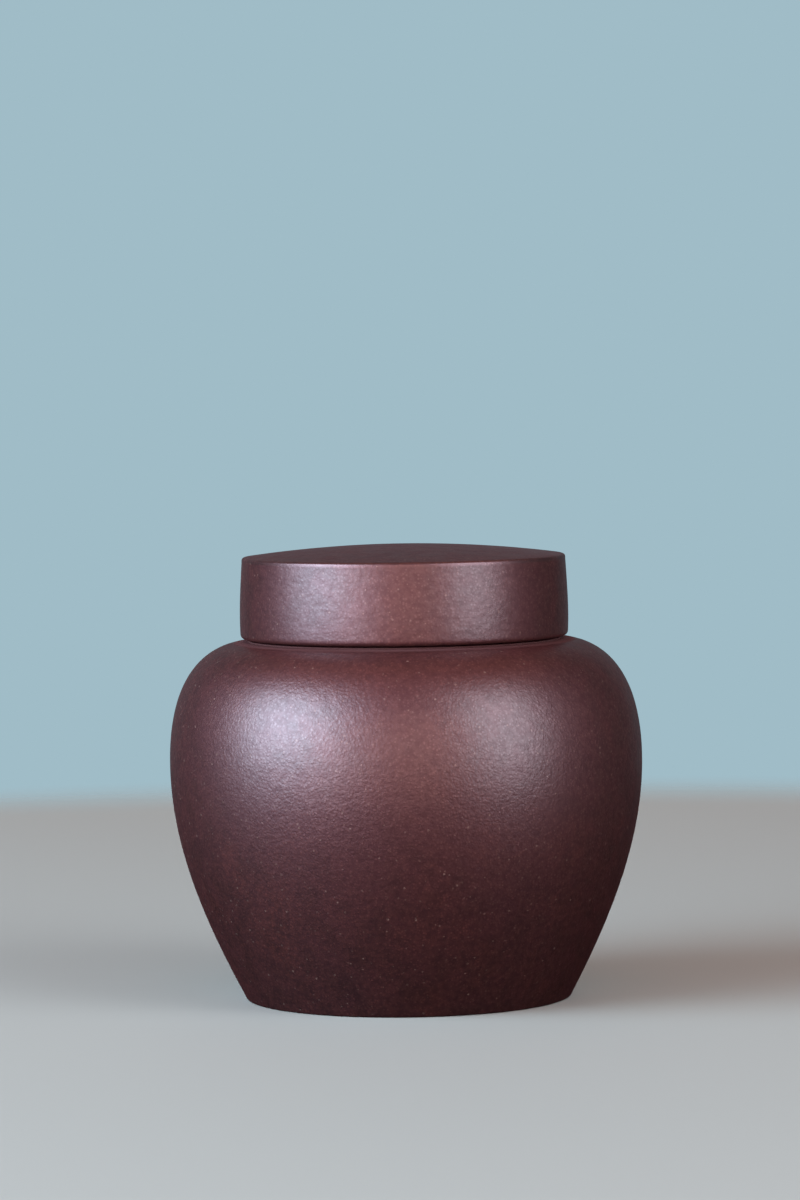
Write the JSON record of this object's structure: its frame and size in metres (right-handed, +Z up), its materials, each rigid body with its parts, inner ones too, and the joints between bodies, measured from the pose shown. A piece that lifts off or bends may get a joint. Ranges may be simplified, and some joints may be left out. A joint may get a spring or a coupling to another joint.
{
  "type": "tea canister",
  "caption": "Round-bellied unglazed clay tea canister with a cap lid that drops over its neck and lifts off upwards.",
  "frame": {"origin": "centre of the foot ring, on the surface that the canister stands on", "axes": "+Z up along the axis that both pieces are turned about; +X and +Y are equal, the picture was taken from -Y"},
  "size_m": [0.0922, 0.0922, 0.0884],
  "materials": {
    "jar_clay": "unglazed purple-brown clay, fine sandy grain, satin from burnishing",
    "lid_clay": "unglazed purple-brown clay, fine sandy grain, satin, faint turning lines on top"
  },
  "bodies": {
    "jar": {"jar_body": "jar_clay"},
    "lid": {"cap_lid": "lid_clay"}
  },
  "joints": [
    {"name": "lid_lift", "type": "slide", "parent": "jar", "child": "lid", "axis": [0, 0, 1], "range_m": [0, 0.06]}
  ]
}
